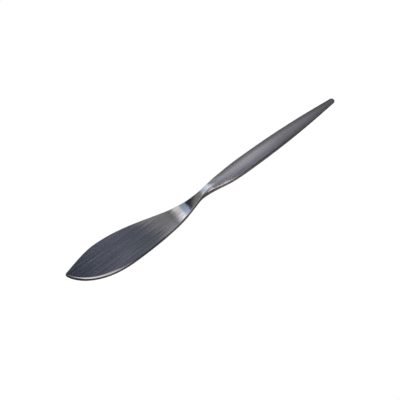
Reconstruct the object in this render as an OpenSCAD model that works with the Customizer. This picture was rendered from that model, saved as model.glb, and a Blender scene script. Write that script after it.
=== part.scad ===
// Butter knife with a leaf-shaped blade and a hollow handle.
// X runs along the knife with the tip at -X, Y across it with the back at +Y, and Z up.
// The origin is on the table, under the middle of the knife's outline.
// Lengths are in millimetres, and places along the knife are counted from the tip.

/* [Blade] */
// Distance from the tip to the narrowest point of the neck
blade_length = 82; // [75:0.5:95]
// Height of the tip above the long axis of the handle
tip_rise = 9.3; // [6:0.1:11.5]
// Width of the blunted tip
tip_width = 0.6; // [0.4:0.1:1.5]
// Highest point of the back above the long axis
back_rise = 13.7; // [12:0.1:17]
// Distance from the tip to the highest point of the back
back_crest_at = 21.5; // [16:0.5:32]
// Lowest point of the belly below the long axis
belly_drop = 7.6; // [6:0.1:12]
// Distance from the tip to the lowest point of the belly
belly_low_at = 31; // [24:0.5:40]
// Distance that the edge falls from the tip before the belly rounds
belly_tip_drop = 3.5; // [2:0.1:6]
// Thickness of the blade where it starts to rise
heel_thickness = 2.1; // [1.6:0.1:3]
// Thickness of the blade at its tip
tip_thickness = 2; // [1.4:0.1:2.6]
// Width of the bevel along the spreading edge
bevel_width = 0.8; // [0.4:0.1:2]
// Height of the bevel along the spreading edge
bevel_height = 0.45; // [0.2:0.05:0.6]
// Radius of the blade's other edges
edge_radius = 0.3; // [0.1:0.05:0.5]

/* [Neck] */
// Width of the neck at its narrowest
neck_width = 3.5; // [3:0.1:6]
// Distance before the neck at which the blade starts to rise
rise_length = 20; // [16:0.5:28]
// Distance from the neck to where the rise reaches the handle's thickness
crest_length = 11.5; // [8:0.5:14]
// Distance from the neck to the shoulder that the handle shells meet
bolster_length = 20; // [14:0.5:24]
// Distance past the neck over which its flat faces round into those of the handle
round_over = 14; // [8:0.5:14]
// Lift of the underside of the neck above the table
neck_lift = 1.6; // [0.5:0.1:2]

/* [Handle] */
// Distance from the neck to the end of the handle
handle_length = 93; // [85:0.5:120]
// Width of the handle at its widest
handle_width = 9.1; // [8:0.1:13]
// Thickness of the handle at its widest
handle_thickness = 5.4; // [4.8:0.1:8]
// Distance from the neck to the widest point
widest_at = 31; // [27:0.5:45]
// Width where the round end begins
end_width = 3; // [2.6:0.1:5]
// Thickness where the round end begins
end_thickness = 2.4; // [2:0.1:4]

/* [Hollow] */
// Wall of the two pressed handle shells
shell_wall = 0.8; // [0.5:0.05:1]
// Solid metal left at the end of the handle
end_solid = 8; // [6:0.5:30]
// Length over which the hollow closes at its end
hollow_round = 5; // [3:0.5:9]
// Length of the tang inside the handle
tang_length = 34; // [20:0.5:40]
// Thickness of the tang
tang_thickness = 1.5; // [1:0.1:1.8]
// Least bed of cement between the tang's edges and the shells
filler_bed = 0.7; // [0.3:0.1:1]
// Distance that each edge of the tang draws in towards its end
tang_draw = 0.7; // [0:0.1:1]
// Length of the tang's root inside the bolster
tang_root = 2; // [1:0.5:6]
// Depth of the notches that key the tang into the filler
tang_notch = 0.5; // [0.2:0.1:0.8]
// Length of each notch
notch_length = 6; // [3:0.5:8]

/* [Curves] */
// Slope of the back where it leaves the tip
tip_slope = 0.25; // [0.1:0.01:0.5]
// Fullness of the back on both sides of its crest, at the tip, crest, crest and neck
back_fullness = [0.45, 0.26, 0.4, 0.34]; // [0.1:0.01:0.8]
// Fullness of the belly before and after its lowest point, and at the neck
belly_fullness = [0.8, 0.7, 0.1]; // [0.05:0.01:0.85]
// Fullness of the sides at the neck, before and after the widest point, and at the end
handle_fullness = [0.33, 0.7, 0.49, 0.21]; // [0.1:0.01:0.8]
// Slope of the sides where they reach the round end, in mean slopes of the taper
end_pull = 1.75; // [0.8:0.05:1.9]
// Share of the rise that each of its two rounded ends takes
rise_rounding = 0.35; // [0.1:0.05:0.45]
// Form of the bevel, from 1, a quarter round, to 2, a flat chamfer
bevel_form = 1.5; // [1:0.1:2]
// Share of the handle's half thickness that its corners round
handle_corner = 0.25; // [0.1:0.05:0.35]
// Share of the handle's half thickness that its faces are crowned
handle_crown = 0.5; // [0.2:0.05:0.55]

/* [Hidden] */
$fn = 48;

steel = "#8b8d94";
cement = "#b9b2a4";

// Places along the knife, from the tip
overall_length = blade_length + handle_length;
rise_at = blade_length - rise_length;
crest_at = blade_length + crest_length;
shoulder_at = blade_length + bolster_length;
widest_x = blade_length + widest_at;
round_at = overall_length - end_width / 2;
hollow_end = overall_length - end_solid;
tang_end = shoulder_at + tang_length;

// Angles at which the round ends of the handle and of its hollow stop in a small flat
end_angle = 80;
hollow_angle = 60;

// Steps of the lofts
corner_steps = 3;
crown_steps = 4;
tip_steps = 11;
blade_steps = 8;
rise_steps = 10;
crest_steps = 6;
bolster_steps = 4;
handle_steps = 24;
end_steps = 5;

// Curves

function mix(a, b, t) = a + (b - a) * t;

function ease(t) =
    let (u = max(0, min(1, t)))
    u * u * (3 - 2 * u);

// A straight climb from 0 to 1 with a rounded foot and a rounded top
function climb(t, r) =
    let (u = max(0, min(1, t)), k = 2 * r * (1 - r))
    u < r ? u * u / k : u > 1 - r ? 1 - (1 - u) * (1 - u) / k : (u - r / 2) / (1 - r);

function cubic(p, t) =
    let (s = 1 - t)
    p[0] * s * s * s + 3 * p[1] * s * s * t + 3 * p[2] * s * t * t + p[3] * t * t * t;

// Where a cubic that never turns back reaches x
function cubic_at(p, x, low = 0, high = 1, tries = 32) =
    let (t = (low + high) / 2)
    tries == 0 ? t : cubic(p, t).x < x ? cubic_at(p, x, t, high, tries - 1) : cubic_at(p, x, low, t, tries - 1);

function height_on(p, x) = cubic(p, cubic_at(p, x)).y;

// A cubic between two points that leaves and arrives at the given slopes
function flow(a, b, leave, arrive, slope_a = 0, slope_b = 0) =
    let (run = b.x - a.x)
    [a, a + run * leave * [1, slope_a], b - run * arrive * [1, slope_b], b];

// Outline seen from above

tip_back = [0, tip_rise + tip_width / 2];
tip_belly = [0, tip_rise - tip_width / 2];
back_crest = [back_crest_at, back_rise];
belly_low = [belly_low_at, -belly_drop];
neck_back = [blade_length, neck_width / 2];
neck_belly = [blade_length, -neck_width / 2];
handle_wide = [widest_x, handle_width / 2];
handle_round = [round_at, end_width / 2];

back_front = flow(tip_back, back_crest, back_fullness[0], back_fullness[1], tip_slope);
back_rear = flow(back_crest, neck_back, back_fullness[2], back_fullness[3]);
belly_front = [
    tip_belly,
    tip_belly - [0, belly_tip_drop],
    belly_low - [belly_low_at * belly_fullness[0], 0],
    belly_low
];
belly_rear = flow(belly_low, neck_belly, belly_fullness[1], belly_fullness[2]);
side_front = flow(neck_back, handle_wide, handle_fullness[0], handle_fullness[1]);
taper_slope = (handle_round.y - handle_wide.y) / (handle_round.x - handle_wide.x);
side_rear = flow(handle_wide, handle_round, handle_fullness[2], handle_fullness[3], 0, end_pull * taper_slope);

function back(x) = height_on(x < back_crest_at ? back_front : back_rear, x);
function belly(x) = height_on(x < belly_low_at ? belly_front : belly_rear, x);
function side(x) = height_on(x < widest_x ? side_front : side_rear, min(x, round_at));

// Heights seen from the side

function rise(x) = climb((x - rise_at) / (crest_at - rise_at), rise_rounding);
// The handle thins as it narrows behind its widest point
function narrowing(x) = x < widest_x ? 0 : max(0, (handle_wide.y - side(x)) / (handle_wide.y - handle_round.y));
function handle_half(x) = mix(handle_thickness, end_thickness, narrowing(x)) / 2;
function blade_half(x) = mix(tip_thickness, heel_thickness, min(1, x / rise_at)) / 2;
// The underside lifts off the table between the blade and the shoulder
function underside(x) =
    let (t = max(0, min(1, (x - rise_at) / (shoulder_at - rise_at))))
    neck_lift * pow(sin(180 * t), 2);
function half_thickness(x) = mix(blade_half(x), handle_half(x), rise(x)) - underside(x) / 2;
function middle(x) = mix(blade_half(x), handle_thickness / 2, rise(x)) + underside(x) / 2;

// Sections across the knife

// A quarter of a section, from the middle of its side wall over the corner to the middle of its face.
// Each point is [distance in from the side, height over the middle].
function quarter(wide, half, corner, form, crown) =
    let (
        slope = 2 * crown / (wide - corner.x),
        turn = atan2(corner.y, corner.x * slope),
        start = corner.x * (1 - pow(cos(turn), form)),
        face = wide - start,
        bulge = slope * face / 2,
        wall = half - bulge - corner.y * pow(sin(turn), form)
    )
    concat(
        [[0, 0]],
        [
            for (i = [0:corner_steps])
                let (a = turn * i / corner_steps)
                [corner.x * (1 - pow(cos(a), form)), wall + corner.y * pow(sin(a), form)]
        ],
        [for (i = [1:crown_steps]) let (t = i / crown_steps) [start + face * t, half - bulge * (1 - t) * (1 - t)]]
    );

// One ring of points from the back over the top to the belly and round below.
// The belly's upper corner may differ from the other three.
function ring(x, high, low, mid, plain, belly) =
    let (last = len(plain) - 1)
    concat(
        [for (q = plain) [x, high - q[0], mid + q[1]]],
        [for (i = [last - 1:-1:0]) [x, low + belly[i][0], mid + belly[i][1]]],
        [for (i = [1:last]) [x, low + plain[i][0], mid - plain[i][1]]],
        [for (i = [last - 1:-1:1]) [x, high - plain[i][0], mid - plain[i][1]]]
    );

ring_size = 4 * (corner_steps + crown_steps + 1);
belly_edge = ring_size / 2;

// Flat blade and neck, whose edges and faces round into those of the handle
function blade_ring(x) =
    let (
        high = x < blade_length ? back(x) : side(x),
        low = x < blade_length ? belly(x) : -side(x),
        wide = (high - low) / 2,
        half = half_thickness(x),
        t = ease((x - blade_length) / round_over),
        corner = handle_corner * half * [1, 1],
        round_edge = mix(min(edge_radius, wide / 2) * [1, 1], corner, t),
        bevel = mix([min(bevel_width, wide / 2), bevel_height], corner, t),
        crown = handle_crown * half * t
    )
    ring(
        x,
        high,
        low,
        middle(x),
        quarter(wide, half, round_edge, 1, crown),
        quarter(wide, half, bevel, mix(bevel_form, 1, t), crown)
    );

// Handle section, drawn in by a wall and closed by a share at its round ends
function handle_ring(x, wall = 0, share = 1) =
    let (
        wide = (side(x) - wall) * share,
        half = (half_thickness(x) - wall) * share,
        plain = quarter(wide, half, handle_corner * half * [1, 1], 1, handle_crown * half)
    )
    ring(x, wide, -wide, middle(x), plain, plain);

// Stations along the knife

function spread(a, b, steps) = [for (i = [0:steps - 1]) mix(a, b, i / steps)];
function taper(a, b, steps) = [for (i = [0:steps - 1]) mix(a, b, pow(i / steps, 2))];

blade_rings = [
    for (x = concat(
        taper(0, belly_low_at, tip_steps),
        spread(belly_low_at, rise_at, blade_steps),
        spread(rise_at, blade_length, rise_steps),
        spread(blade_length, crest_at, crest_steps),
        spread(crest_at, shoulder_at, bolster_steps),
        [shoulder_at]
    )) blade_ring(x)
];

// A handle skin that starts at the shoulder and closes in a round end
function handle_skin(straight_end, closed_end, wall, angle) = concat(
    [for (x = spread(shoulder_at, straight_end, handle_steps)) handle_ring(x, wall)],
    [
        for (i = [0:end_steps])
            let (
                a = angle * i / end_steps,
                x = mix(straight_end, closed_end, sin(a) / sin(angle))
            )
            handle_ring(x, wall, cos(a))
    ]
);

outer_skin = handle_skin(round_at, overall_length, 0, end_angle);
inner_skin = handle_skin(hollow_end - hollow_round, hollow_end, shell_wall, hollow_angle);

// Solids from rings

function flat_list(lists) = [for (l = lists) each l];
function quad(a, b, c, d) = [[a, b, c], [a, c, d]];

// A closed skin through rings of equal length, capped at both ends
module skin(rings) {
    n = len(rings[0]);
    last = (len(rings) - 1) * n;
    sides = [
        for (i = [0:len(rings) - 2], k = [0:n - 1])
            let (a = i * n + k, b = i * n + (k + 1) % n)
            each quad(a, a + n, b + n, b)
    ];
    caps = [[for (k = [0:n - 1]) k], [for (k = [n - 1:-1:0]) last + k]];
    polyhedron(flat_list(rings), concat(sides, caps));
}

// A pressed half shell between an outer and an inner list of arcs, with its rims in one plane
module half_shell(outer, inner) {
    n = len(outer[0]);
    m = len(outer);
    in = m * n;
    end = (m - 1) * n;
    walls = [
        for (i = [0:m - 2], k = [0:n - 2])
            let (a = i * n + k)
            each concat(
                quad(a, a + n, a + n + 1, a + 1),
                [[in + a, in + a + n + 1, in + a + n], [in + a, in + a + 1, in + a + n + 1]]
            )
    ];
    mouth = [for (k = [0:n - 2]) each quad(in + k, k, k + 1, in + k + 1)];
    rims = [
        for (i = [0:m - 2])
            let (a = i * n, b = a + n - 1)
            each concat(quad(in + a, in + a + n, a + n, a), quad(b, b + n, in + b + n, in + b))
    ];
    ends = [
        [for (k = [n - 1:-1:0]) end + k],
        [for (k = [0:n - 1]) in + end + k],
        [end + n - 1, end, in + end, in + end + n - 1]
    ];
    polyhedron(flat_list(concat(outer, inner)), concat(walls, mouth, rims, ends));
}

// A ring without its two seam points, which lie on straight walls
function seamless(r) = [for (k = [0:ring_size - 1]) if (k % belly_edge != 0) r[k]];
function upper_arc(r) = [for (k = [0:belly_edge]) r[k]];
function lower_arc(r) = [for (k = [belly_edge:ring_size]) r[k % ring_size]];

// Stand on the table with the middle of the outline at the origin
module place() translate([-overall_length / 2, (belly_drop - back_rise) / 2, 0]) children();

// Half width of the hollow at the height of the tang's faces
function hollow_half(x) =
    let (
        wide = side(x) - shell_wall,
        half = half_thickness(x) - shell_wall,
        bulge = handle_crown * half,
        reach = sqrt(min(1, (half - tang_thickness / 2) / bulge))
    )
    (wide - handle_corner * half) * reach;

// Half width of the tang, which narrows evenly from the shoulder to its end
tang_start_half = hollow_half(shoulder_at) - filler_bed;
tang_end_half = min(tang_start_half, hollow_half(tang_end) - filler_bed) - tang_draw;
function tang_half(x) = mix(tang_start_half, tang_end_half, (x - shoulder_at) / tang_length);

// Flat tang from its root in the bolster, with two notches on each edge
module tang() translate([0, 0, (handle_thickness - tang_thickness) / 2]) linear_extrude(tang_thickness)
    difference() {
        polygon([
            for (x = [shoulder_at - tang_root, tang_end]) [x, tang_half(x)],
            for (x = [tang_end, shoulder_at - tang_root]) [x, -tang_half(x)]
        ]);
        for (x = [shoulder_at + tang_length / 3, shoulder_at + tang_length * 2 / 3], s = [-1, 1])
            notch(x, s);
    }

// A round notch in one edge of the tang, never deeper than half of what is there
module notch(x, s) {
    depth = min(tang_notch, tang_half(x) / 2);
    radius = (notch_length * notch_length / 4 + depth * depth) / (2 * depth);
    translate([x, s * (tang_half(x) - depth + radius)])
        circle(radius);
}

// Forged blade, neck and bolster in one piece with the tang
module blade() color(steel) place() {
    skin([for (r = blade_rings) seamless(r)]);
    tang();
}

module handle_shell_upper() color(steel) place()
    half_shell([for (r = outer_skin) upper_arc(r)], [for (r = inner_skin) upper_arc(r)]);

module handle_shell_lower() color(steel) place()
    half_shell([for (r = outer_skin) lower_arc(r)], [for (r = inner_skin) lower_arc(r)]);

// Cement that fills the handle round the tang
module handle_filler() color(cement) place() difference() {
    skin([for (r = inner_skin) seamless(r)]);
    tang();
}

blade();
handle_shell_upper();
handle_shell_lower();
handle_filler();
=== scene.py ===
"""Looks of a satin steel butter knife with a leaf-shaped blade and a hollow handle."""

import math

import bmesh
import bpy
from bpy.props import FloatProperty, FloatVectorProperty, PointerProperty
from mathutils import Matrix, Vector


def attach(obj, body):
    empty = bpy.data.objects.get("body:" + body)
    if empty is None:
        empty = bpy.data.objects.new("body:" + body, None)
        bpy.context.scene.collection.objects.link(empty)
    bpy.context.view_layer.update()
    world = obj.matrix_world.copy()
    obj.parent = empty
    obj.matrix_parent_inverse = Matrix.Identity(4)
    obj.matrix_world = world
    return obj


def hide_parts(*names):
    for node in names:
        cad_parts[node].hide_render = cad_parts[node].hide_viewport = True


bl_info = {
    "name": "Butter knife",
    "version": (1, 0, 0),
    "blender": (4, 5, 0),
    "location": "View3D > Sidebar > Knife",
    "description": "Blade, hollow handle and studio of a satin steel butter knife",
    "category": "Object",
}

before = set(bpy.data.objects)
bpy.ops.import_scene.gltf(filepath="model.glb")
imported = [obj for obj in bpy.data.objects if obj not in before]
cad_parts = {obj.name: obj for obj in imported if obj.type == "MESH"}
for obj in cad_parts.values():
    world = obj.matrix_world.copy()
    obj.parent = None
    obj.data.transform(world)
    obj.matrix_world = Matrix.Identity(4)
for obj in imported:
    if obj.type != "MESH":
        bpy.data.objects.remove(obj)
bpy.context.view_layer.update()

# Curves of the outline and of the sections, as the solids have them
TIP_SLOPE = 0.25
BACK_FULLNESS = (0.45, 0.26, 0.4, 0.34)
BELLY_FULLNESS = (0.8, 0.7, 0.1)
HANDLE_FULLNESS = (0.33, 0.7, 0.49, 0.21)
END_PULL = 1.75
BEVEL_FORM = 1.5
HANDLE_CORNER = 0.25
HANDLE_CROWN = 0.5
END_ANGLE = math.radians(80)
HOLLOW_ANGLE = math.radians(60)
NOTCH_PLACES = (1 / 3, 2 / 3)

# Forms that the solids are without: a rise that starts earlier and aslant, and a bevel that runs out,
# between shares of the way to the belly's low point and to the rise
RISE_ROUNDING = 0.4
RISE_LEAD = 0.0015
RISE_LEAN = 0.18
BEVEL_RUN_OUT = (0.4, 0.62)

# More of them, in spans from the neck: a softer front edge, and a crest that rounds sooner in front and
# later behind
SOFT_EDGE = 0.0005
SOFT_START = (-0.002, 0.002)
SOFT_END = (0.006, 0.018)
FRONT_CROWN = 0.2
FRONT_SPAN = (-0.002, 0.004)
REAR_DELAY = 0.004

# Steps of the blade's loft, and powers that set them closer at the tip and at the edges of the faces
CORNER_STEPS = 5
FACE_STEPS = 9
FACE_POWER = 1.6
TIP_STEPS = 40
TIP_POWER = 2.0
BLADE_STEPS = 36
RISE_STEPS = 60
CREST_STEPS = 36
BOLSTER_STEPS = 16
NOTCH_STEPS = 6
BISECTIONS = 40

# Steps of the handle shells
SHELL_CORNER = 6
SHELL_FACE = 9
SHELL_ROWS = 110
SHELL_END = 12
SIDE_STEPS = 200

# Other values that only the meshes need
BRUSH_STEP = 0.001
FENCE_HEIGHT = 0.01
RAY_START = -0.01
RAY_LENGTH = 0.1
RAY_MARGIN = 1e-6
MERGE_DISTANCE = 1e-7
SHARP_ANGLE = math.radians(40)
WEAR_AND_PAINT_SPREAD = 1.6


def number(name, description, default, **limits):
    """A number with its limits or its unit."""
    return FloatProperty(name=name, description=description, default=default, **limits)


def length(name, description, default):
    """A size in metres that the sidebar shows in the scene's units."""
    return number(name, description, default, min=0.0, unit="LENGTH", precision=5)


def roughness(name, description, default):
    """A roughness between polished and matt."""
    return number(name, description, default, min=0.05, max=0.6)


def tint(name, description, default):
    """A colour that the sidebar shows as a swatch."""
    return FloatVectorProperty(
        name=name, description=description, default=default, size=3, min=0.0, max=1.0, subtype="COLOR"
    )


class BladeSizes(bpy.types.PropertyGroup):
    """Sizes of the forged blade, its neck and its bolster."""

    blade_length: length("Blade length", "From the tip to the narrowest point of the neck", 0.082)
    tip_rise: length("Tip rise", "Height of the tip above the handle's long axis", 0.0093)
    tip_width: length("Tip width", "Width of the blunted tip", 0.0006)
    back_rise: length("Back rise", "Highest point of the back above the long axis", 0.0137)
    back_crest: length("Back crest", "From the tip to the highest point of the back", 0.0215)
    belly_drop: length("Belly drop", "Lowest point of the belly below the long axis", 0.0076)
    belly_low: length("Belly low", "From the tip to the lowest point of the belly", 0.031)
    belly_tip_drop: length("Belly tip drop", "Fall of the edge at the tip before the belly rounds", 0.0035)
    heel_thickness: length("Heel thickness", "Thickness where the blade starts to rise", 0.0021)
    tip_thickness: length("Tip thickness", "Thickness of the blade at its tip", 0.002)
    bevel_width: length("Bevel width", "Width of the bevel along the spreading edge", 0.0008)
    bevel_height: length("Bevel height", "Height of the bevel along the spreading edge", 0.00045)
    edge_radius: length("Edge radius", "Radius of the blade's other edges", 0.0003)
    neck_width: length("Neck width", "Width of the neck at its narrowest", 0.0035)
    rise_length: length("Rise length", "From the start of the rise to the neck", 0.02)
    crest_length: length("Crest length", "From the neck to the full thickness of the handle", 0.0115)
    bolster_length: length("Bolster length", "From the neck to the shoulder that the shells meet", 0.02)
    round_over: length("Round over", "Length over which the neck rounds into the handle", 0.014)
    neck_lift: length("Neck lift", "Lift of the neck's underside above the table", 0.0016)


class HandleSizes(bpy.types.PropertyGroup):
    """Sizes of the hollow handle and of the tang inside it."""

    handle_length: length("Handle length", "From the neck to the end of the handle", 0.093)
    handle_width: length("Handle width", "Width of the handle at its widest", 0.0091)
    handle_thickness: length("Handle thickness", "Thickness of the handle at its widest", 0.0054)
    widest_at: length("Widest at", "From the neck to the widest point", 0.031)
    end_width: length("End width", "Width where the round end begins", 0.003)
    end_thickness: length("End thickness", "Thickness where the round end begins", 0.0024)
    shell_wall: length("Shell wall", "Wall of the two pressed shells", 0.0008)
    end_solid: length("End solid", "Solid metal at the end of the handle", 0.008)
    hollow_round: length("Hollow round", "Length over which the hollow closes", 0.005)
    tang_length: length("Tang length", "Length of the tang inside the handle", 0.034)
    tang_thickness: length("Tang thickness", "Thickness of the tang", 0.0015)
    tang_bed: length("Tang bed", "Cement between the tang's edges and the shells", 0.0007)
    tang_draw: length("Tang draw", "How far each edge of the tang draws in", 0.0007)
    tang_root: length("Tang root", "Length of the tang's root in the bolster", 0.002)
    tang_notch: length("Tang notch", "Depth of the notches in the tang", 0.0005)
    notch_length: length("Notch length", "Length of each notch", 0.006)


class SteelFinish(bpy.types.PropertyGroup):
    """Colours and brushing of the steel and of the cement inside the handle, with steel tones that paint in
    reflections, highlights and shade.
    """

    # The tip, blade and heel tones are painted reflections: darker and bluer at the tip, warmer at the heel
    tip_colour: tint("Tip", "Steel at the tip of the blade", (0.175, 0.2, 0.24))
    blade_colour: tint("Blade", "Steel of the blade", (0.365, 0.38, 0.42))
    # The neck tone is a painted brown reflection
    neck_colour: tint("Neck", "Worn steel of the neck", (0.38, 0.345, 0.3))
    heel_colour: tint("Heel", "Steel at the heel of the blade", (0.385, 0.37, 0.368))
    handle_colour: tint("Handle", "Steel of the handle", (0.58, 0.575, 0.595))
    # The handle end's tone is painted shade
    end_colour: tint("Handle end", "Steel at the end of the handle", (0.29, 0.282, 0.285))
    # The bevel tone is painted shade on the blade's bevel and the handle's rear corners, and the edges tone a
    # painted highlight on the bevel near the tip and near the rise and on the handle's front corners
    bevel_colour: tint("Bevel", "Steel on the rubbed bevel of the blade", (0.3, 0.285, 0.265))
    edges_colour: tint("Edges", "Steel on the rubbed edges of the handle", (0.66, 0.63, 0.59))
    cement_colour: tint("Cement", "Cement that fills the handle", (0.7, 0.67, 0.61))
    satin: roughness("Satin", "Roughness of the brushed blade", 0.17)
    polish: roughness("Polish", "Roughness of the polished rise", 0.12)
    edge: roughness("Edge", "Roughness of the rubbed edges", 0.24)
    grip: roughness("Grip", "Roughness of the handle and of the worn neck", 0.28)


class StudioSettings(bpy.types.PropertyGroup):
    """Place of the camera and strength of the studio's lights."""

    azimuth: number("Azimuth", "Turn of the camera round the knife", math.radians(-43.34), subtype="ANGLE")
    elevation: number("Elevation", "Height of the camera as an angle", math.radians(50), subtype="ANGLE")
    distance: length("Distance", "From the camera to the point it looks at", 1.5)
    lens: number("Lens", "Focal length in millimetres", 270.9, min=1.0)
    strip_light: number("Strip lights", "Radiance of the two narrow lights behind the knife", 1.15, min=0.0)
    top_light: number("Top lights", "Radiance of the broad lights round the knife", 1.35, min=0.0)


# Curves along the knife


def mix(a, b, t):
    return a + (b - a) * t


def ease(t):
    u = max(0.0, min(1.0, t))
    return u * u * (3 - 2 * u)


def ramp(x, start, span):
    """An eased climb from 0 to 1 over a span that counts from a start."""
    return ease((x - start - span[0]) / (span[1] - span[0]))


def climb(t, r):
    """A straight climb from 0 to 1 with a rounded foot and a rounded top."""
    u = max(0.0, min(1.0, t))
    k = 2 * r * (1 - r)
    if u < r:
        return u * u / k
    if u > 1 - r:
        return 1 - (1 - u) ** 2 / k
    return (u - r / 2) / (1 - r)


def cubic(points, t):
    s = 1 - t
    a, b, c, d = points
    return a * s**3 + 3 * b * s * s * t + 3 * c * s * t * t + d * t**3


def height_on(points, x):
    """Height of a cubic at the place x along it."""
    low, high = 0.0, 1.0
    for _ in range(BISECTIONS):
        t = (low + high) / 2
        if cubic(points, t).x < x:
            low = t
        else:
            high = t
    return cubic(points, (low + high) / 2).y


def flow(a, b, leave, arrive, slope_a=0.0, slope_b=0.0):
    """A cubic between two points that leaves and arrives at the given slopes."""
    run = b.x - a.x
    return a, a + run * leave * Vector((1, slope_a)), b - run * arrive * Vector((1, slope_b)), b


class KnifeForm:
    """Outline, heights and sections of the knife, counted from the tip."""

    def __init__(self, blade, handle):
        self.blade = blade
        self.handle = handle
        neck = blade.blade_length
        self.overall = neck + handle.handle_length
        self.rise_at = neck - blade.rise_length
        self.crest_at = neck + blade.crest_length
        self.shoulder = neck + blade.bolster_length
        self.widest = neck + handle.widest_at
        self.round_at = self.overall - handle.end_width / 2
        self.tang_end = self.shoulder + handle.tang_length
        self.notches = [self.shoulder + handle.tang_length * share for share in NOTCH_PLACES]
        tip_back = Vector((0, blade.tip_rise + blade.tip_width / 2))
        tip_belly = Vector((0, blade.tip_rise - blade.tip_width / 2))
        crest = Vector((blade.back_crest, blade.back_rise))
        low = Vector((blade.belly_low, -blade.belly_drop))
        neck_back = Vector((neck, blade.neck_width / 2))
        neck_belly = Vector((neck, -blade.neck_width / 2))
        wide = Vector((self.widest, handle.handle_width / 2))
        end = Vector((self.round_at, handle.end_width / 2))
        pull = END_PULL * (end.y - wide.y) / (end.x - wide.x)
        self.back_front = flow(tip_back, crest, BACK_FULLNESS[0], BACK_FULLNESS[1], TIP_SLOPE)
        self.back_rear = flow(crest, neck_back, BACK_FULLNESS[2], BACK_FULLNESS[3])
        self.belly_front = (
            tip_belly,
            tip_belly - Vector((0, blade.belly_tip_drop)),
            low - Vector((blade.belly_low * BELLY_FULLNESS[0], 0)),
            low,
        )
        self.belly_rear = flow(low, neck_belly, BELLY_FULLNESS[1], BELLY_FULLNESS[2])
        self.side_front = flow(neck_back, wide, HANDLE_FULLNESS[0], HANDLE_FULLNESS[1])
        self.side_rear = flow(wide, end, HANDLE_FULLNESS[2], HANDLE_FULLNESS[3], 0, pull)
        self.place = Vector((-self.overall / 2, (blade.belly_drop - blade.back_rise) / 2, 0))

    def back(self, x):
        return height_on(self.back_front if x < self.blade.back_crest else self.back_rear, x)

    def belly(self, x):
        return height_on(self.belly_front if x < self.blade.belly_low else self.belly_rear, x)

    def side(self, x):
        return height_on(self.side_front if x < self.widest else self.side_rear, min(x, self.round_at))

    def rise(self, x):
        foot = self.rise_at - RISE_LEAD
        return climb((x - foot) / (self.crest_at - foot), RISE_ROUNDING)

    def lean(self, x, y):
        """Height by which the upper face differs from its middle, because the rise starts aslant."""
        aslant = RISE_LEAN * y * (1 - ease((x - self.blade.blade_length) / self.blade.crest_length))
        climbed = self.handle.handle_thickness - self.blade.heel_thickness
        return climbed * (self.rise(x - aslant) - self.rise(x))

    def lift(self, x):
        """Gap under the neck, between the blade and the shoulder."""
        t = max(0.0, min(1.0, (x - self.rise_at) / (self.shoulder - self.rise_at)))
        return self.blade.neck_lift * math.sin(math.pi * t) ** 2

    def handle_half(self, x):
        """Half thickness of the handle, which thins as it narrows behind its widest point."""
        if x < self.widest:
            return self.handle.handle_thickness / 2
        wide = self.handle.handle_width / 2
        share = max(0.0, (wide - self.side(x)) / (wide - self.handle.end_width / 2))
        return mix(self.handle.handle_thickness, self.handle.end_thickness, share) / 2

    def blade_half(self, x):
        return mix(self.blade.tip_thickness, self.blade.heel_thickness, min(1.0, x / self.rise_at)) / 2

    def half(self, x):
        return mix(self.blade_half(x), self.handle_half(x), self.rise(x)) - self.lift(x) / 2

    def middle(self, x):
        return mix(self.blade_half(x), self.handle.handle_thickness / 2, self.rise(x)) + self.lift(x) / 2

    def section(self, x):
        """Points of the flat blade and neck, whose edges and faces round into those of the handle."""
        blade, neck = self.blade, self.blade.blade_length
        high = self.back(x) if x < neck else self.side(x)
        low = self.belly(x) if x < neck else -self.side(x)
        wide = (high - low) / 2
        half = self.half(x)
        rounded = ease((x - neck) / blade.round_over)
        rounded_late = ease((x - neck - REAR_DELAY) / blade.round_over)
        run_out = (blade.belly_low * BEVEL_RUN_OUT[0], self.rise_at * BEVEL_RUN_OUT[1])
        bevelled = 1 - ramp(x, 0.0, run_out)
        soft = SOFT_EDGE * ramp(x, neck, SOFT_START) * (1 - ramp(x, neck, SOFT_END))
        corner = HANDLE_CORNER * half
        edge = min(blade.edge_radius, wide / 2)
        bevel_x = mix(mix(edge, min(blade.bevel_width, wide / 2), bevelled), corner, rounded) + soft
        bevel_y = mix(mix(edge, blade.bevel_height, bevelled), corner, rounded) + soft
        edge = mix(edge, corner, rounded)
        crown = HANDLE_CROWN * half * rounded
        front_crown = max(crown, FRONT_CROWN * wide * ramp(x, neck, FRONT_SPAN))
        rear_crown = HANDLE_CROWN * half * rounded_late
        plain = quarter(wide, half, edge, edge, 1.0, crown)
        rear = quarter(wide, half, edge, edge, 1.0, rear_crown)
        front = quarter(wide, half, bevel_x, bevel_y, mix(1.0, BEVEL_FORM, bevelled), front_crown)
        points = all_round(x, high, low, self.middle(x), rear, front, plain)
        upper = len(points) // 2
        return [(x, y, z + self.lean(x, y)) for x, y, z in points[:upper]] + points[upper:]

    def hollow_half(self, x):
        """Half width of the hollow at the height of the tang's faces."""
        wide = self.side(x) - self.handle.shell_wall
        half = self.half(x) - self.handle.shell_wall
        reach = math.sqrt(min(1.0, (half - self.handle.tang_thickness / 2) / (HANDLE_CROWN * half)))
        return (wide - HANDLE_CORNER * half) * reach

    def tang_half(self, x):
        """Half width of the tang, which narrows evenly towards its end."""
        start = self.hollow_half(self.shoulder) - self.handle.tang_bed
        end = min(start, self.hollow_half(self.tang_end) - self.handle.tang_bed) - self.handle.tang_draw
        return mix(start, end, (x - self.shoulder) / self.handle.tang_length)


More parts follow.
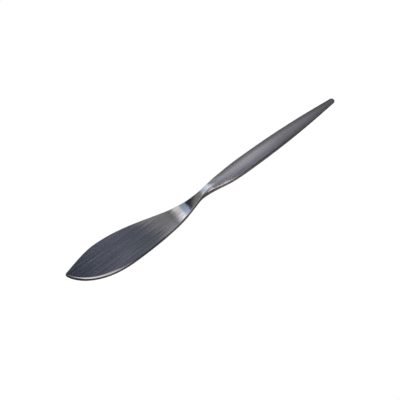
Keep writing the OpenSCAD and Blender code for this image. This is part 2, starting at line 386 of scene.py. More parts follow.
def quarter(wide, half, corner_x, corner_y, form, crown):
    """Distances in from the side and heights over the middle, from the wall to the middle of the face."""
    slope = 2 * crown / (wide - corner_x)
    turn = math.atan2(corner_y, corner_x * slope)
    start = corner_x * (1 - max(0.0, math.cos(turn)) ** form)
    face = wide - start
    bulge = slope * face / 2
    wall = half - bulge - corner_y * math.sin(turn) ** form
    points = []
    for i in range(CORNER_STEPS + 1):
        a = turn * i / CORNER_STEPS
        inward = corner_x * (1 - max(0.0, math.cos(a)) ** form)
        points.append((inward, wall + corner_y * math.sin(a) ** form))
    for i in range(1, FACE_STEPS + 1):
        t = (i / FACE_STEPS) ** FACE_POWER
        points.append((start + face * t, half - bulge * (1 - t) ** 2))
    return points


def all_round(x, high, low, mid, rear, front, plain):
    """One section from the back over the top to the belly and round below."""
    points = [(x, high - q[0], mid + q[1]) for q in rear]
    points += [(x, low + q[0], mid + q[1]) for q in reversed(front[:-1])]
    points += [(x, low + q[0], mid - q[1]) for q in plain]
    points += [(x, high - q[0], mid - q[1]) for q in reversed(plain[:-1])]
    return points


def spread(a, b, steps, power=1.0):
    return [mix(a, b, (i / steps) ** power) for i in range(steps)]


# Meshes


def add_skin(bm, brush, rings, place):
    """A closed skin through sections of equal length, with a map for the direction of the brushing."""
    # Mask of the corners, for their rougher finish and their painted highlight and shade
    rubbed = bm.verts.layers.float.new("rubbed")
    rows = [[bm.verts.new(Vector(p) + place) for p in points] for points in rings]
    count = len(rows[0])
    turns = [math.pi * i / CORNER_STEPS for i in range(CORNER_STEPS + 1)]
    corner = [min(1.0, WEAR_AND_PAINT_SPREAD * math.sin(turn)) for turn in turns] + [0.0] * FACE_STEPS
    for row in rows:
        for k, vert in enumerate(row):
            half_turn = k % (count // 2)
            vert[rubbed] = corner[min(half_turn, count // 2 - 1 - half_turn)]
    for i in range(len(rows) - 1):
        for k in range(count):
            n = (k + 1) % count
            face = bm.faces.new((rows[i][k], rows[i + 1][k], rows[i + 1][n], rows[i][n]))
            for loop, spot in zip(face.loops, (k, k, k + 1, k + 1)):
                loop[brush].uv = (spot * BRUSH_STEP, loop.vert.co.x)
    bm.faces.new(rows[0])
    bm.faces.new(list(reversed(rows[-1])))


def add_tang(bm, form):
    """The flat tang with its round notches, from its root in the bolster."""
    sizes = form.handle
    edge = [form.shoulder - sizes.tang_root]
    for middle in form.notches:
        edge += [middle + sizes.notch_length / 2 * (i / NOTCH_STEPS - 1) for i in range(2 * NOTCH_STEPS + 1)]
    edge.append(form.tang_end)
    outline = [(x, tang_edge(form, x)) for x in edge]
    outline += [(x, -y) for x, y in reversed(outline)]
    low = (sizes.handle_thickness - sizes.tang_thickness) / 2
    bottom = [bm.verts.new(Vector((x, y, low)) + form.place) for x, y in outline]
    top = [bm.verts.new(v.co + Vector((0, 0, sizes.tang_thickness))) for v in bottom]
    bm.faces.new(bottom)
    bm.faces.new(list(reversed(top)))
    for i in range(len(bottom)):
        n = (i + 1) % len(bottom)
        bm.faces.new((bottom[i], top[i], top[n], bottom[n]))


def tang_edge(form, x):
    """Half width of the tang with its notches."""
    sizes = form.handle
    plain = form.tang_half(x)
    cut = 0.0
    for middle in form.notches:
        depth = min(sizes.tang_notch, form.tang_half(middle) / 2)
        radius = (sizes.notch_length**2 / 4 + depth * depth) / (2 * depth)
        off = abs(x - middle)
        if off < sizes.notch_length / 2:
            cut = max(cut, math.sqrt(radius * radius - off * off) - radius + depth)
    return plain - cut


def finish_mesh(mesh):
    """Outward faces, smooth shading and crisp rims."""
    bm = bmesh.new()
    bm.from_mesh(mesh)
    bmesh.ops.recalc_face_normals(bm, faces=bm.faces)
    for face in bm.faces:
        face.smooth = True
    bm.to_mesh(mesh)
    bm.free()
    mesh.set_sharp_from_angle(angle=SHARP_ANGLE)


def show(name, mesh):
    piece = bpy.data.objects.new(name, mesh)
    bpy.context.scene.collection.objects.link(piece)
    return piece


# Values inside node trees


class Field:
    """A value in a node tree that plain arithmetic turns into Math nodes."""

    def __init__(self, tree, socket):
        self.tree = tree
        self.socket = socket

    def apply(self, operation, *others):
        node = self.tree.nodes.new("ShaderNodeMath")
        node.operation = operation
        for socket, value in zip(node.inputs, (self, *others)):
            put(self.tree, socket, value)
        return Field(self.tree, node.outputs[0])

    def __add__(self, other):
        return self.apply("ADD", other)

    def __sub__(self, other):
        return self.apply("SUBTRACT", other)

    def __mul__(self, other):
        return self.apply("MULTIPLY", other)

    def __truediv__(self, other):
        return self.apply("DIVIDE", other)

    def __neg__(self):
        return self.apply("MULTIPLY", -1.0)

    def above(self, other):
        return self.apply("GREATER_THAN", other)

    def clamped(self):
        return self.apply("MINIMUM", 1.0).apply("MAXIMUM", 0.0)

    def floor(self):
        return self.apply("FLOOR")

    def sin(self):
        return self.apply("SINE")

    def cos(self):
        return self.apply("COSINE")

    def flipped(self):
        """One less this value."""
        return -self + 1.0

    def to(self, other, share):
        """This value mixed towards another by a share."""
        return self + (other - self) * share


def put(tree, socket, value):
    """Links a value to a socket, or sets it there."""
    if isinstance(value, Field):
        value = value.socket
    if isinstance(value, bpy.types.NodeSocket):
        tree.links.new(value, socket)
    else:
        socket.default_value = value


def add_node(tree, kind, inputs=(), **settings):
    """A node with its settings and with values or links on its named inputs."""
    node = tree.nodes.new(kind)
    for key, value in settings.items():
        setattr(node, key, value)
    for key, value in dict(inputs).items():
        put(tree, node.inputs[key], value)
    return node


def point(tree, x=0.0, y=0.0, z=0.0):
    """A vector from three values."""
    return add_node(tree, "ShaderNodeCombineXYZ", {"X": x, "Y": y, "Z": z}).outputs[0]


# Handle shells by Geometry Nodes

BEZIER_POINTS = ("Start", "Start Handle", "End Handle", "End")


def shell_values(form, side):
    """Inputs of the tree for one half."""
    handle = form.handle
    return {
        "Neck at": form.blade.blade_length,
        "Shoulder at": form.shoulder,
        "Widest at": form.widest,
        "Round end at": form.round_at,
        "Length": form.overall,
        "Neck half width": form.blade.neck_width / 2,
        "Half width": handle.handle_width / 2,
        "End half width": handle.end_width / 2,
        "Half thickness": handle.handle_thickness / 2,
        "End half thickness": handle.end_thickness / 2,
        "Wall": handle.shell_wall,
        "Hollow round at": form.overall - handle.end_solid - handle.hollow_round,
        "Hollow end": form.overall - handle.end_solid,
        "Side": side,
        "Move along": form.place.x,
        "Move across": form.place.y,
    }


def shell_tree(names):
    """One pressed half of the handle: its outer and inner walls, its rims and its mouth."""
    tree = bpy.data.node_groups.new("Handle shell", "GeometryNodeTree")
    for name in names:
        tree.interface.new_socket(name=name, in_out="INPUT", socket_type="NodeSocketFloat")
    tree.interface.new_socket(name="Steel", in_out="INPUT", socket_type="NodeSocketMaterial")
    tree.interface.new_socket(name="Shell", in_out="OUTPUT", socket_type="NodeSocketGeometry")
    given = tree.nodes.new("NodeGroupInput")
    size = {name: Field(tree, given.outputs[name]) for name in names}

    arc = 2 * (SHELL_CORNER + SHELL_FACE + 1) + 1
    walls = shell_grid(tree, SHELL_ROWS + SHELL_END + 2, 2 * arc + 1, arc)
    mouth = mouth_grid(tree, arc)
    joined = add_node(tree, "GeometryNodeJoinGeometry")
    tree.links.new(walls, joined.inputs[0])
    tree.links.new(mouth, joined.inputs[0])

    place, spot, along, rubbed = shell_point(tree, size, arc)
    # Mask of the corners, for their rougher finish and their painted highlight and shade
    worn_and_reflecting = stored(tree, joined.outputs[0], rubbed=rubbed)
    mapped = stored(tree, worn_and_reflecting, "FLOAT2", "CORNER", brush=point(tree, spot * BRUSH_STEP, along))
    moved = add_node(tree, "GeometryNodeSetPosition", {"Geometry": mapped, "Position": place})
    near = {"Geometry": moved.outputs[0], "Distance": MERGE_DISTANCE}
    merged = add_node(tree, "GeometryNodeMergeByDistance", near)
    real = add_node(tree, "GeometryNodeRealizeInstances", {"Geometry": merged.outputs[0]})
    finish = {"Geometry": real.outputs[0], "Material": given.outputs["Steel"]}
    finished = add_node(tree, "GeometryNodeSetMaterial", finish)
    out = tree.nodes.new("NodeGroupOutput")
    tree.links.new(finished.outputs[0], out.inputs[0])
    return tree


def stored(tree, geometry, kind="FLOAT", domain="POINT", **values):
    """A geometry that carries the given values."""
    for name, value in values.items():
        inputs = {"Geometry": geometry, "Name": name, "Value": value}
        node = add_node(tree, "GeometryNodeStoreNamedAttribute", inputs, data_type=kind, domain=domain)
        geometry = node.outputs[0]
    return geometry


def read(tree, name):
    node = add_node(tree, "GeometryNodeInputNamedAttribute", {"Name": name}, data_type="FLOAT")
    return Field(tree, node.outputs[0])


def shell_grid(tree, rows, columns, arc):
    """A sheet that runs over the outer wall, back along the inner wall and closes on itself."""
    grid = add_node(tree, "GeometryNodeMeshGrid", {"Vertices X": rows, "Vertices Y": columns})
    index = Field(tree, tree.nodes.new("GeometryNodeInputIndex").outputs[0])
    row = ((index + 0.5) / columns).floor()
    column = index - row * columns
    past = column.above(arc - 0.5)
    inner = past * column.above(2 * arc - 0.5).flipped()
    spot = column * past.flipped() + (-column + (2 * arc - 1)) * inner
    return stored(tree, grid.outputs[0], row=row, spot=spot, inner=inner)


def mouth_grid(tree, arc):
    """A strip that closes the shell at the shoulder."""
    grid = add_node(tree, "GeometryNodeMeshGrid", {"Vertices X": 2, "Vertices Y": arc})
    index = Field(tree, tree.nodes.new("GeometryNodeInputIndex").outputs[0])
    inner = index.above(arc - 0.5)
    return stored(tree, grid.outputs[0], row=index * 0.0, spot=index - inner * arc, inner=inner)


def side_fence(tree, size):
    """The side line of the handle, raised into a fence that rays can find."""
    curves = add_node(tree, "GeometryNodeJoinGeometry")
    neck_at, widest_at, round_at = size["Neck at"], size["Widest at"], size["Round end at"]
    neck, wide, end = size["Neck half width"], size["Half width"], size["End half width"]
    run = widest_at - neck_at
    tail = round_at - widest_at
    drop = (end - wide) * (END_PULL * HANDLE_FULLNESS[3])
    front = (
        (neck_at, neck),
        (neck_at + run * HANDLE_FULLNESS[0], neck),
        (widest_at - run * HANDLE_FULLNESS[1], wide),
        (widest_at, wide),
    )
    rear = (
        (widest_at, wide),
        (widest_at + tail * HANDLE_FULLNESS[2], wide),
        (round_at - tail * HANDLE_FULLNESS[3], end - drop),
        (round_at, end),
    )
    for corners in (rear, front):
        ends = {key: point(tree, *corner) for key, corner in zip(BEZIER_POINTS, corners)}
        line = add_node(tree, "GeometryNodeCurvePrimitiveBezierSegment", {"Resolution": SIDE_STEPS, **ends})
        tree.links.new(line.outputs[0], curves.inputs[0])
    wire = add_node(tree, "GeometryNodeCurveToMesh", {"Curve": curves.outputs[0]})
    raised = {"Mesh": wire.outputs[0], "Offset": point(tree, z=FENCE_HEIGHT), "Offset Scale": 1.0}
    return add_node(tree, "GeometryNodeExtrudeMesh", raised, mode="EDGES").outputs[0]


def shell_point(tree, size, arc):
    """Where a point of the shell lies, from its row, its spot round the section and its wall."""
    row, spot, inner = read(tree, "row"), read(tree, "spot"), read(tree, "inner")

    # Along the handle and round its closed end
    straight = (row / SHELL_ROWS).clamped()
    closing = ((row - SHELL_ROWS) / SHELL_END).clamped()
    pole = row.above(SHELL_ROWS + SHELL_END + 0.5)
    full_turn = inner * (HOLLOW_ANGLE - END_ANGLE) + END_ANGLE
    straight_end = size["Round end at"].to(size["Hollow round at"], inner)
    closed_end = size["Length"].to(size["Hollow end"], inner)
    turned = full_turn * closing
    along = size["Shoulder at"].to(straight_end, straight).to(closed_end, turned.sin() / full_turn.sin())
    share = turned.cos() * pole.flipped()

    # Half width and half thickness there
    start = along.apply("MINIMUM", size["Round end at"] - RAY_MARGIN)
    outward = {
        "Target Geometry": side_fence(tree, size),
        "Source Position": point(tree, start, RAY_START, FENCE_HEIGHT / 2),
        "Ray Direction": (0.0, 1.0, 0.0),
        "Ray Length": RAY_LENGTH,
    }
    ray = add_node(tree, "GeometryNodeRaycast", outward)
    split = add_node(tree, "ShaderNodeSeparateXYZ", {"Vector": ray.outputs["Hit Position"]})
    side = Field(tree, split.outputs["Y"])
    narrowed = (size["Half width"] - side) / (size["Half width"] - size["End half width"])
    narrowing = narrowed.clamped() * along.above(size["Widest at"])
    wall = size["Wall"] * inner
    wide = side - wall
    half = size["Half thickness"].to(size["End half thickness"], narrowing) - wall

    # Round the section: the side wall, the corner and the crowned face
    corner = half * HANDLE_CORNER
    slope = half * (2 * HANDLE_CROWN) / (wide - corner)
    turn = (slope * 0.0 + 1.0).apply("ARCTAN2", slope)
    lead = corner * turn.cos().flipped()
    face = wide - lead
    bulge = slope * face * 0.5
    foot = half - bulge - corner * turn.sin()
    middle = (arc - 1) / 2
    step = -(spot - middle).apply("ABSOLUTE") + middle
    cornering = ((step - 1.0) / SHELL_CORNER).clamped()
    bend = turn * cornering
    reach = ((step - (SHELL_CORNER + 1)) / SHELL_FACE).clamped()
    left = reach.flipped()
    inward = corner * bend.cos().flipped() + face * reach
    upward = (foot + corner * bend.sin() + bulge * (left * left).flipped()) * step.clamped()
    hand = (spot - middle).apply("SIGN")
    across = -(wide - inward) * share * hand
    up = upward * share * size["Side"] + size["Half thickness"]
    moved = point(tree, along + size["Move along"], across + size["Move across"], up)
    # Mask of the corners, for their rougher finish and their painted highlight and shade
    rubbed = ((cornering * math.pi).sin() * WEAR_AND_PAINT_SPREAD).clamped() * inner.flipped()
    return moved, spot, along, rubbed


def make_shell(name, tree, form, side, material):
    """Runs the tree for one half and keeps its result as a plain mesh."""
    values = {**shell_values(form, side), "Steel": material}
    piece = show(name, bpy.data.meshes.new(name))
    modifier = piece.modifiers.new("Shell", "NODES")
    modifier.node_group = tree
    for socket in tree.interface.items_tree:
        if socket.in_out == "INPUT":
            modifier[socket.identifier] = values[socket.name]
    depsgraph = bpy.context.evaluated_depsgraph_get()
    mesh = bpy.data.meshes.new_from_object(piece.evaluated_get(depsgraph), depsgraph=depsgraph)
    piece.modifiers.remove(modifier)
    piece.data = mesh
    mesh.name = name
    for spare in ("row", "spot", "inner"):
        if spare in mesh.attributes:
            mesh.attributes.remove(mesh.attributes[spare])
    if not mesh.polygons:
        raise RuntimeError(f"{name} came out empty")
    finish_mesh(mesh)
    return piece


# Materials

WHITE = (1.0, 1.0, 1.0, 1.0)
TONES = ("Tip", "Blade", "Heel", "Neck", "Handle", "End", "Bevel", "Edges")

# Noises of the grain: scale along it as a share of the run and across it as a share of the fineness,
# then detail and roughness
GRAIN_RUN = 40.0
GRAIN_FINENESS = 2600.0
GRAIN = {
    "Streaks": (1.0, 0.35, 2.0, 0.55),
    "Lines": (2.0, 1.0, 1.0, 0.5),
    "Mottle": (0.8, 0.05, 3.0, 0.6),
}

# How strongly the grain shades, stains and roughens the steel
STREAK_SHADE = 0.35
LINE_SHADE = 0.25
MOTTLE_SHADE = 0.3
STAIN = (1.12, 0.99, 1.04, 1.0)
STAIN_FROM = 0.42
STAIN_DEPTH = 1.5
STREAK_ROUGHNESS = 0.12
ANISOTROPY = 0.9

# Noises by scale, detail and roughness: waves in the polish, and clouds and grit in the cement
WAVES = ((120.0, 300.0, 300.0), 1.0, 0.5)
CLOUDS = ((400.0, 400.0, 400.0), 4.0, 0.6)
GRIT = ((4000.0, 4000.0, 4000.0), 2.0, 0.5)

# Relief of the grain and of the waves in the polish
BUMP_STRENGTH = 0.12
BUMP_HEIGHT = 0.00002
WAVE_HEIGHT = 20.0

# Where the blade's painted dark reflection deepens and where the heel's painted tone starts, as shares of the
# way from the tip to the rise
DEEP_SHARES = (0.45, 0.7)
HEEL_SHARES = (0.72, 0.92)
# How much of the painted dark reflection and of the neck's painted brown reflection is laid on, and how rough
# the heel is
DEEP_COVER = 0.4
NECK_REFLECTION_COVER = 0.85
HEEL_GRIP = 0.7

# Other spans over which the steel's roughness and its painted reflections, highlights and shade change, each
# from the place that it is used at, and how far
SPANS = {
    "rise": (0.0, 0.005, 1.0),
    "shine": (0.002, 0.0065, 1.0),
    "matt": (-0.0078, -0.0028, 1.0),
    "neck": (-0.0012, 0.0008, 1.0),
    "crest": (0.001, 0.007, 1.0),
    "upper side": (-0.005, 0.002, 0.95),
    # Heel back and heel belly lay on a painted highlight; taper and end lay on painted shade
    "heel back": (0.003, 0.008, 0.4),
    "heel belly": (0.001, 0.0045, 0.7),
    "taper": (0.006, 0.026, 0.45),
    "end": (-0.03, 0.0, 0.55),
    "bevel": (-0.006, 0.016, 1.0),
    "bevel end": (-0.016, -0.006, 1.0),
    "handle edge": (-0.009, 0.006, 1.0),
}

# How far streaks and the place across the knife shift a change
HEEL_RAGGED = 0.02
HEEL_LEAN = 0.3
RISE_RAGGED = 0.01
MATT_LEAN = -1.2

# Cement
CEMENT_DARK = 0.7
CLOUD_SHARE = 0.6
CEMENT_ROUGHNESS = 0.75
GRIT_ROUGHNESS = 0.2
GRIT_STRENGTH = 0.4
GRIT_HEIGHT = 0.0001

# Sockets for colours on a node that has others of the same names
COLOUR_A = 6
COLOUR_B = 7
COLOUR_RESULT = 2


def shader_group(name, inputs, outputs):
    """An empty shader group with its named sockets, and what goes in and out of it."""
    tree = bpy.data.node_groups.new(name, "ShaderNodeTree")
    for key, kind, default in inputs:
        socket = tree.interface.new_socket(name=key, in_out="INPUT", socket_type=kind)
        socket.default_value = default
    for key, kind in outputs:
        tree.interface.new_socket(name=key, in_out="OUTPUT", socket_type=kind)
    return tree, tree.nodes.new("NodeGroupInput").outputs, tree.nodes.new("NodeGroupOutput").inputs


def stretched_noise(tree, scale, detail, rough):
    """Noise on the object's own coordinates, stretched by a scale for each axis."""
    where = add_node(tree, "ShaderNodeTexCoord").outputs["Object"]
    mapping = add_node(tree, "ShaderNodeMapping", {"Vector": where, "Scale": scale})
    inputs = {"Vector": mapping.outputs[0], "Scale": 1.0, "Detail": detail, "Roughness": rough}
    return Field(tree, add_node(tree, "ShaderNodeTexNoise", inputs).outputs[0])


def brushed_grain():
    """Streaks along the knife, finer lines between them and soft mottling."""
    tree, given, out = shader_group(
        "Brushed grain",
        [("Run", "NodeSocketFloat", GRAIN_RUN), ("Fineness", "NodeSocketFloat", GRAIN_FINENESS)],
        [(key, "NodeSocketFloat") for key in GRAIN],
    )
    run, fine = Field(tree, given["Run"]), Field(tree, given["Fineness"])
    for key, (along, across, detail, rough) in GRAIN.items():
        scale = point(tree, run * along, fine * across, fine * across)
        put(tree, out[key], stretched_noise(tree, scale, detail, rough))
    return tree


def knife_tone(form):
    """Colours of the faces and edges along the knife, which paint in reflections, highlights and shade, and
    masks of where it is polished and where it is rougher.
    """
    colour, value = "NodeSocketColor", "NodeSocketFloat"
    tree, given, out = shader_group(
        "Knife tone",
        [(key, colour, WHITE) for key in TONES] + [("Streaks", value, 0.5)],
        [("Colour", colour), ("Edge", colour), ("Polish", value), ("Grip", value)],
    )
    where = add_node(tree, "ShaderNodeTexCoord").outputs["Object"]
    split = add_node(tree, "ShaderNodeSeparateXYZ", {"Vector": where}).outputs
    x = Field(tree, split["X"]) - form.place.x
    y = Field(tree, split["Y"]) - form.place.y
    streak = Field(tree, given["Streaks"]) - 0.5
    rise_at, neck = form.rise_at, form.blade.blade_length

    def passed(start, end, along=x, cover=1.0):
        inputs = {"Value": along, "From Min": start, "From Max": end, "To Max": cover}
        node = add_node(tree, "ShaderNodeMapRange", inputs, interpolation_type="SMOOTHSTEP")
        return Field(tree, node.outputs[0])

    def changed(key, place=0.0, along=x):
        start, end, cover = SPANS[key]
        return passed(place + start, place + end, along, cover)

    # Masks
    ragged = x + streak * HEEL_RAGGED + y * HEEL_LEAN
    heel = passed(rise_at * HEEL_SHARES[0], rise_at * HEEL_SHARES[1], ragged)
    deep = passed(rise_at * DEEP_SHARES[0], rise_at * DEEP_SHARES[1], x, DEEP_COVER) * heel.flipped()
    uneven = x + streak * RISE_RAGGED
    rise = changed("rise", rise_at, uneven)
    shine = changed("shine", rise_at, uneven)
    matt = changed("matt", neck, x + y * MATT_LEAN)
    before_neck = changed("neck", neck).flipped()
    worn_and_reflecting = matt * before_neck
    upper = changed("upper side", 0.0, y) * before_neck
    sides = changed("heel back", 0.0, y) + changed("heel belly", 0.0, -y)
    ending = changed("taper", form.widest) + changed("end", form.overall)
    grip = heel * shine.flipped() * HEEL_GRIP + worn_and_reflecting + (matt - worn_and_reflecting) * changed("crest", neck)

    # Faces, whose tones paint in reflections, a highlight and shade
    # Painted reflection: dark and blue at the tip, paler towards the back's crest
    tone = blend(tree, passed(0.0, form.blade.back_crest), given["Tip"], given["Blade"])
    # Painted reflection: darker again in the middle of the blade
    tone = blend(tree, deep, tone, given["Tip"])
    # Painted reflection: warmer grey at the heel
    tone = blend(tree, heel, tone, given["Heel"])
    # Painted highlight: the handle's lighter tone along the heel's back and belly
    tone = blend(tree, heel * sides, tone, given["Handle"])
    # The rise takes the handle's tone, but its upper side keeps the heel's painted reflection
    tone = blend(tree, rise * upper.flipped(), tone, given["Handle"])
    # Painted reflection: brown on the neck
    tone = blend(tree, worn_and_reflecting * NECK_REFLECTION_COVER, tone, given["Neck"])
    # Painted shade: darker towards the end of the handle
    tone = blend(tree, ending, tone, given["End"])

    # Edges: a painted highlight near the tip and from before the rise to about the handle's widest point, and
    # painted shade on the rest of the bevel and behind the widest point
    edge = blend(tree, changed("bevel"), given["Edges"], given["Bevel"])
    edge = blend(tree, changed("bevel end", rise_at), edge, given["Edges"])
    edge = blend(tree, changed("handle edge", form.widest), edge, given["Bevel"])

    put(tree, out["Colour"], tone)
    put(tree, out["Edge"], edge)
    put(tree, out["Polish"], shine * matt.flipped())
    put(tree, out["Grip"], grip)
    return tree


def blend(tree, share, a, b, mode="MIX"):
    """Two colours mixed by a share."""
    inputs = {"Factor": share, COLOUR_A: a, COLOUR_B: b}
    node = add_node(tree, "ShaderNodeMix", inputs, data_type="RGBA", blend_type=mode)
    return node.outputs[COLOUR_RESULT]


def place_group(tree, group, inputs=()):
    return add_node(tree, "ShaderNodeGroup", inputs, node_tree=group).outputs


def rgba(colour):
    return (*colour, 1.0)


def new_material(name):
    """A material with nodes, its tree and its shader."""
    material = bpy.data.materials.new(name)
    material.use_nodes = True
    return material, material.node_tree, material.node_tree.nodes["Principled BSDF"]


def steel_material(name, tone, grain, finish):
    """Brushed steel whose grain runs along the knife."""
    material, tree, shader = new_material(name)
    grained = place_group(tree, grain)
    tints = {key: rgba(getattr(finish, key.lower() + "_colour")) for key in TONES}
    toned = place_group(tree, tone, {"Streaks": grained["Streaks"], **tints})
    polish = Field(tree, toned["Polish"])
    grip = Field(tree, toned["Grip"])
    streaks = Field(tree, grained["Streaks"])
    lines = Field(tree, grained["Lines"])
    mottle = Field(tree, grained["Mottle"])
    rubbed = Field(tree, add_node(tree, "ShaderNodeAttribute", attribute_name="rubbed").outputs["Fac"])
    brushed = polish.flipped()

    # Colour: grain and random stains over the knife's tone, and the edge tone on the corners, both with
    # painted reflections, highlights and shade
    shade = (streaks - 0.5) * STREAK_SHADE + (lines - 0.5) * LINE_SHADE + (mottle - 0.5) * MOTTLE_SHADE
    level = shade * brushed + 1.0
    grey = add_node(tree, "ShaderNodeCombineColor", {"Red": level, "Green": level, "Blue": level})
    stained = (mottle - STAIN_FROM).clamped() * brushed * STAIN_DEPTH
    colour = blend(tree, stained, toned["Colour"], STAIN, "MULTIPLY")
    colour = blend(tree, 1.0, colour, grey.outputs[0], "MULTIPLY")
    # The corners take the edge tone, which is a painted highlight in some places and painted shade in others
    put(tree, shader.inputs["Base Color"], blend(tree, rubbed, colour, toned["Edge"]))

    # Roughness
    satin = polish * (finish.polish - finish.satin) + grip * (finish.grip - finish.satin) + finish.satin
    satin = satin + (streaks - 0.5) * STREAK_ROUGHNESS * brushed
    put(tree, shader.inputs["Roughness"], satin + (-satin + finish.edge) * rubbed)

    # Relief and direction of the brushing
    waves = (stretched_noise(tree, *WAVES) - 0.5) * polish * WAVE_HEIGHT
    relief = {"Height": lines + streaks + waves, "Strength": BUMP_STRENGTH, "Distance": BUMP_HEIGHT}
    put(tree, shader.inputs["Normal"], add_node(tree, "ShaderNodeBump", relief).outputs[0])
    tangent = add_node(tree, "ShaderNodeTangent", direction_type="UV_MAP", uv_map="brush")
    put(tree, shader.inputs["Tangent"], tangent.outputs[0])
    shader.inputs["Metallic"].default_value = 1.0
    shader.inputs["Anisotropic"].default_value = ANISOTROPY
    return material


def cement_material(finish):
    """Matt cement with fine grains."""
    material, tree, shader = new_material("Handle cement")
    cloud = stretched_noise(tree, *CLOUDS)
    grit = stretched_noise(tree, *GRIT)
    light = rgba(finish.cement_colour)
    dark = rgba([c * CEMENT_DARK for c in finish.cement_colour])
    share = cloud * CLOUD_SHARE + grit * (1 - CLOUD_SHARE)
    put(tree, shader.inputs["Base Color"], blend(tree, share, dark, light))
    put(tree, shader.inputs["Roughness"], grit * GRIT_ROUGHNESS + CEMENT_ROUGHNESS)
    relief = {"Height": grit, "Strength": GRIT_STRENGTH, "Distance": GRIT_HEIGHT}
    put(tree, shader.inputs["Normal"], add_node(tree, "ShaderNodeBump", relief).outputs[0])
    return material


# Operators


def knife_form():
    scene = bpy.context.scene
    return KnifeForm(scene.knife_blade, scene.knife_handle)


def shared_group(name, make):
    """A node group that is made once and found again afterwards."""
    return bpy.data.node_groups.get(name) or make()


def steel(name):
    form = knife_form()
    tone = shared_group("Knife tone", lambda: knife_tone(form))
    grain = shared_group("Brushed grain", brushed_grain)
    return steel_material(name, tone, grain, bpy.context.scene.knife_finish)


class KNIFE_OT_blade(bpy.types.Operator):
    """Loft the blade with its neck, bolster and tang"""

    bl_idname = "knife.blade"
    bl_label = "Blade"

    def execute(self, context):
        form = knife_form()
        low, neck = form.blade.belly_low, form.blade.blade_length
        stations = spread(0.0, low, TIP_STEPS, TIP_POWER) + spread(low, form.rise_at, BLADE_STEPS)
        stations += spread(form.rise_at, neck, RISE_STEPS) + spread(neck, form.crest_at, CREST_STEPS)
        stations += spread(form.crest_at, form.shoulder, BOLSTER_STEPS) + [form.shoulder]
        bm = bmesh.new()
        brush = bm.loops.layers.uv.new("brush")
        add_skin(bm, brush, [form.section(x) for x in stations], form.place)
        add_tang(bm, form)
        mesh = bpy.data.meshes.new("knife_blade")
        bm.to_mesh(mesh)
        bm.free()
        finish_mesh(mesh)
        mesh.materials.append(steel("Brushed blade steel"))
        piece = show("knife_blade", mesh)
        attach(piece, "root")
        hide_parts("blade")
        return {"FINISHED"}


class KNIFE_OT_handle(bpy.types.Operator):
    """Press the two halves of the hollow handle"""

    bl_idname = "knife.handle"
    bl_label = "Handle shells"

    def execute(self, context):
        form = knife_form()
        tree = shell_tree(list(shell_values(form, 1.0)))
        finish = steel("Brushed handle steel")
        for name, side in (("upper", 1.0), ("lower", -1.0)):
            piece = make_shell("knife_handle_" + name, tree, form, side, finish)
            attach(piece, "root")
            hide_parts("handle_shell_" + name)
        return {"FINISHED"}


class KNIFE_OT_filler(bpy.types.Operator):
    """Give the cement inside the handle its finish"""

    bl_idname = "knife.filler"
    bl_label = "Handle filler"

    def execute(self, context):
        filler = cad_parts["handle_filler"]
        filler.data.materials.clear()
        filler.data.materials.append(cement_material(context.scene.knife_finish))
        return {"FINISHED"}


class KNIFE_OT_stage(bpy.types.Operator):
    """Set up the floor, the lights and the camera"""

    bl_idname = "knife.stage"
    bl_label = "Studio"

    def execute(self, context):
        studio = context.scene.knife_studio
        make_floor()
        make_world(context.scene)
        for name, values in LIGHTS.items():
            make_light(name, studio, *values)
        make_camera(context.scene, studio)
        context.scene.view_settings.view_transform = "Standard"
        return {"FINISHED"}


# Stage

FLOOR_HALF = 3.0
FLOOR_HEIGHT = -0.0002
FLOOR_COLOUR = (0.2, 0.18, 0.165, 1.0)
FLOOR_GLOW = 1.02
CAMERA_AIM = (-0.00666, -0.00323, 0.0)

# Far panels: direction, width along the knife and height as shares of the distance, the setting that
# drives them, their share of it, and colour
LIGHT_DISTANCE = 12.0
LIGHT_POWER = 4.0
LIGHTS = {
    "strip": ((0.322, 0.37, 0.872), 0.092, 0.85, "strip_light", 1.0, (0.98, 0.98, 1.0)),
    "side_strip": ((0.239, 0.37, 0.898), 0.082, 0.85, "strip_light", 0.6, (0.62, 0.77, 1.0)),
    "top": ((-0.2, -0.5, 0.84), 0.95, 1.1, "top_light", 1.0, (0.97, 0.98, 1.0)),
    "window": ((-0.045, -0.9, 0.42), 0.87, 0.4, "top_light", 1.0, (1.0, 0.97, 0.94)),
    "fill": ((0.76, -0.6, 0.25), 0.5, 0.5, "top_light", 0.25, (1.0, 0.98, 0.96)),
}

# Light of the room by direction: along the knife, and across it where the last number is one
ROOM_ALONG = (
    (-1.0, (0.25, 0.25, 0.25)),
    (0.12, (0.46, 0.4, 0.33)),
    (0.158, (0.012, 0.012, 0.012)),
    (0.38, (0.01, 0.018, 0.035)),
    (0.4, (0.05, 0.075, 0.12)),
    (0.412, (0.165, 0.19, 0.235)),
    (0.43, (0.22, 0.21, 0.21)),
    (0.459, (1.2, 1.2, 1.25)),
    (0.49, (0.3, 0.3, 0.31)),
    (1.0, (0.3, 0.3, 0.3)),
)
ROOM_ACROSS = (
    (-1.0, (0.07, 0.07, 0.08), 1.0),
    (-0.5, (0.12, 0.125, 0.15), 1.0),
    (-0.15, (0.38, 0.395, 0.46), 1.0),
    (0.35, (0.35, 0.37, 0.42), 0.0),
    (0.6, (0.28, 0.28, 0.29), 0.0),
    (0.82, (0.21, 0.21, 0.215), 1.0),
    (1.0, (0.2, 0.2, 0.2), 1.0),
)


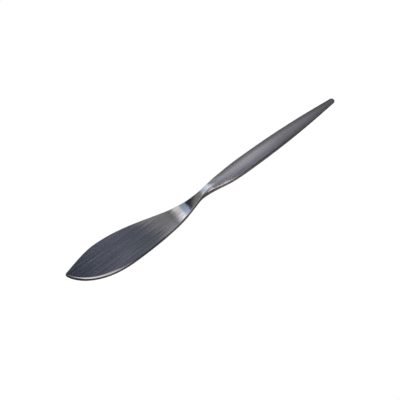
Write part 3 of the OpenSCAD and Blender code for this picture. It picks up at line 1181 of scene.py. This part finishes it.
def make_floor():
    """A plain pale floor that stays white to the camera and dim in the steel."""
    mesh = bpy.data.meshes.new("floor")
    ends = (-FLOOR_HALF, FLOOR_HALF)
    corners = [(x, y, FLOOR_HEIGHT) for y in ends for x in ends]
    mesh.from_pydata(corners, [], [(0, 1, 3, 2)])
    material, tree, _ = new_material("Pale floor")
    tree.nodes.clear()
    plain = add_node(tree, "ShaderNodeBsdfDiffuse", {"Color": FLOOR_COLOUR})
    glow = add_node(tree, "ShaderNodeEmission", {"Color": WHITE, "Strength": FLOOR_GLOW})
    out = add_node(tree, "ShaderNodeOutputMaterial", {"Surface": for_camera(tree, glow, plain)})
    out.is_active_output = True
    mesh.materials.append(material)
    show("floor", mesh)


def for_camera(tree, shown, lit):
    """One shader for the camera and another for all other light."""
    seen = add_node(tree, "ShaderNodeLightPath").outputs["Is Camera Ray"]
    return add_node(tree, "ShaderNodeMixShader", {0: seen, 1: lit.outputs[0], 2: shown.outputs[0]}).outputs[0]


def room_ramp(tree, part, stops):
    """Colour of the room from one part of the direction, with the share that it takes."""
    node = add_node(tree, "ShaderNodeValToRGB", {"Fac": Field(tree, part) * 0.5 + 0.5})
    while len(node.color_ramp.elements) < len(stops):
        node.color_ramp.elements.new(0.5)
    for element, (place, colour, *share) in zip(node.color_ramp.elements, stops):
        element.position = place / 2 + 0.5
        element.color = (*colour, *(share or [1.0]))
    return node.outputs


def make_world(scene):
    """The room that the steel mirrors, with a white backdrop for the camera."""
    world = bpy.data.worlds.new("Studio room")
    scene.world = world
    world.use_nodes = True
    tree = world.node_tree
    tree.nodes.clear()
    where = add_node(tree, "ShaderNodeTexCoord").outputs["Generated"]
    split = add_node(tree, "ShaderNodeSeparateXYZ", {"Vector": where}).outputs
    along = room_ramp(tree, split["X"], ROOM_ALONG)
    across = room_ramp(tree, split["Y"], ROOM_ACROSS)
    colour = blend(tree, across["Alpha"], along["Color"], across["Color"])
    room = add_node(tree, "ShaderNodeBackground", {"Color": colour, "Strength": 1.0})
    white = add_node(tree, "ShaderNodeBackground", {"Color": WHITE, "Strength": 1.0})
    add_node(tree, "ShaderNodeOutputWorld", {"Surface": for_camera(tree, white, room)})


def make_light(name, studio, direction, width, height, setting, share, colour):
    """A far panel in a direction, with its width along the knife."""
    away = Vector(direction).normalized()
    side = (Vector((1, 0, 0)) - away * away.x).normalized()
    up = away.cross(side)
    light = bpy.data.lights.new(name, "AREA")
    light.shape = "RECTANGLE"
    light.size = width * LIGHT_DISTANCE
    light.size_y = height * LIGHT_DISTANCE
    light.color = colour
    light.energy = LIGHT_POWER * getattr(studio, setting) * share * light.size * light.size_y
    panel = bpy.data.objects.new(name, light)
    panel.matrix_world = Matrix((side, up, away)).transposed().to_4x4()
    panel.location = away * LIGHT_DISTANCE
    panel.visible_camera = False
    bpy.context.scene.collection.objects.link(panel)


def make_camera(scene, studio):
    """The photograph's view of the knife."""
    turn, tilt = studio.azimuth, studio.elevation
    flat = math.cos(tilt)
    away = Vector((math.sin(turn) * flat, -math.cos(turn) * flat, math.sin(tilt)))
    data = bpy.data.cameras.new("camera")
    data.lens = studio.lens
    camera = bpy.data.objects.new("camera", data)
    camera.location = Vector(CAMERA_AIM) + away * studio.distance
    camera.rotation_euler = away.to_track_quat("Z", "Y").to_euler()
    scene.collection.objects.link(camera)
    scene.camera = camera


class VIEW3D_PT_knife(bpy.types.Panel):
    """Sizes, finish and building steps of the knife"""

    bl_label = "Butter knife"
    bl_space_type = "VIEW_3D"
    bl_region_type = "UI"
    bl_category = "Knife"

    def draw(self, context):
        for operator in OPERATORS:
            self.layout.operator(operator.bl_idname)
        for key in SETTINGS:
            group = getattr(context.scene, key)
            box = self.layout.box()
            for name in group.__annotations__:
                box.prop(group, name)


SETTINGS = {
    "knife_blade": BladeSizes,
    "knife_handle": HandleSizes,
    "knife_finish": SteelFinish,
    "knife_studio": StudioSettings,
}
OPERATORS = (KNIFE_OT_blade, KNIFE_OT_handle, KNIFE_OT_filler, KNIFE_OT_stage)
CLASSES = (*SETTINGS.values(), *OPERATORS, VIEW3D_PT_knife)


def register():
    for cls in CLASSES:
        bpy.utils.register_class(cls)
    for key, group in SETTINGS.items():
        setattr(bpy.types.Scene, key, PointerProperty(type=group))


def unregister():
    for key in SETTINGS:
        delattr(bpy.types.Scene, key)
    for cls in reversed(CLASSES):
        bpy.utils.unregister_class(cls)


def main():
    register()
    bpy.ops.knife.blade()
    bpy.ops.knife.handle()
    bpy.ops.knife.filler()
    bpy.ops.knife.stage()


if __name__ == "__main__":
    main()
